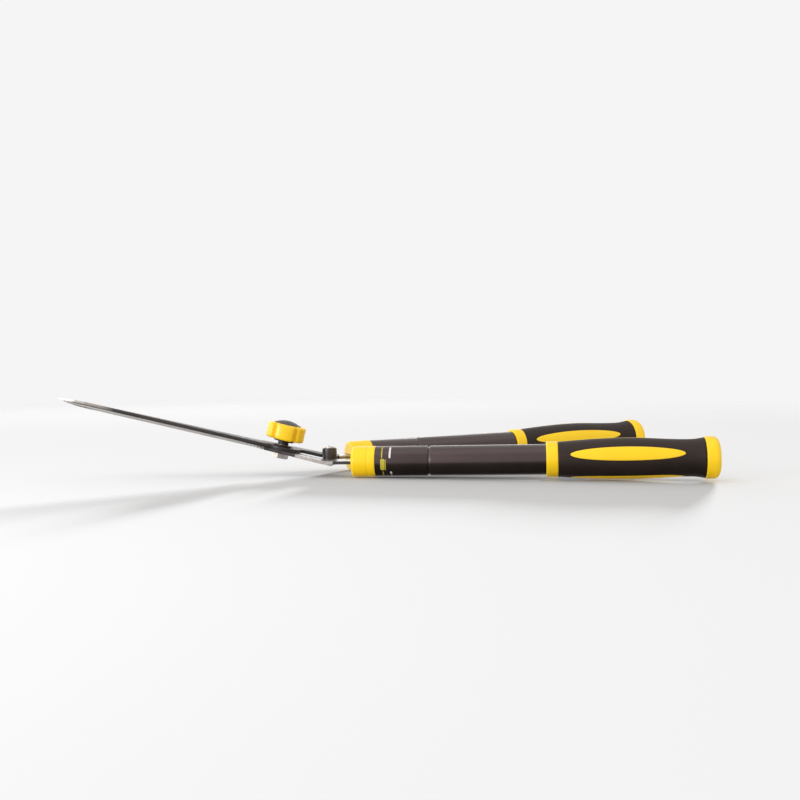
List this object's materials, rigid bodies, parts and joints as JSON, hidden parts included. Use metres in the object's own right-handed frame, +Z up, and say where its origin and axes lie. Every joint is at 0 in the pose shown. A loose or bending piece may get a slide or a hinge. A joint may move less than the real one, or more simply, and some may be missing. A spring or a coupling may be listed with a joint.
{
  "type": "hedge shears",
  "caption": "Two-handed hedge shears with crossed cranked blades, a star knob at the pivot, a rubber stop and tubular handles with soft inlaid grips.",
  "frame": {"origin": "middle of the base of the closed shears' box, on the surface that grips and collars lie on", "axes": "+X from the blades to the grips along the centre line, +Y to the side of the upper blade's handle, +Z up"},
  "size_m": [0.591, 0.2456, 0.0743],
  "materials": {
    "ground_blade": "satin",
    "black_blade": "satin",
    "zinc_steel": "satin",
    "washer_steel": "satin",
    "black_nylon": "satin",
    "plug_nylon": "matte",
    "yellow_plastic": "satin",
    "yellow_knob": "satin",
    "grey_cap": "satin",
    "stop_rubber": "satin",
    "grip_rubber": "matte",
    "black_tube": "satin"
  },
  "bodies": {
    "lower_half": {"lower_blade": "ground_blade", "pivot_bolt": "zinc_steel", "bumper": "stop_rubber", "bumper_screw": "zinc_steel", "bumper_washer": "washer_steel", "bumper_nut": "zinc_steel", "lower_tang_plug": "plug_nylon", "lower_collar": "yellow_plastic", "lower_collar_ring": "yellow_plastic", "lower_tube": "black_tube", "lower_grip_core": "yellow_plastic", "lower_grip_ring": "yellow_plastic", "lower_grip": "grip_rubber", "lower_grip_inlays": "yellow_plastic", "lower_end_cap": "yellow_plastic"},
    "upper_half": {"upper_blade": "black_blade", "pivot_washer": "washer_steel", "upper_tang_plug": "plug_nylon", "upper_collar": "yellow_plastic", "upper_collar_ring": "yellow_plastic", "upper_tube": "black_tube", "upper_grip_core": "yellow_plastic", "upper_grip_ring": "yellow_plastic", "upper_grip": "grip_rubber", "upper_grip_inlays": "yellow_plastic", "upper_end_cap": "yellow_plastic"},
    "knob": {"knob": "yellow_knob", "knob_insert": "zinc_steel", "knob_cap": "grey_cap", "knob_washer": "black_nylon"}
  },
  "joints": [
    {"name": "blade_pivot", "type": "hinge", "parent": "lower_half", "child": "upper_half", "pos_m": [-0.0924, 0, 0.02439], "axis": [0.2351, 0, 0.972], "range_deg": [0, 60]},
    {"name": "knob_turn", "type": "hinge", "parent": "lower_half", "child": "knob", "pos_m": [-0.0924, 0, 0.02439], "axis": [0.2351, 0, 0.972], "range_deg": [0, 360]}
  ]
}
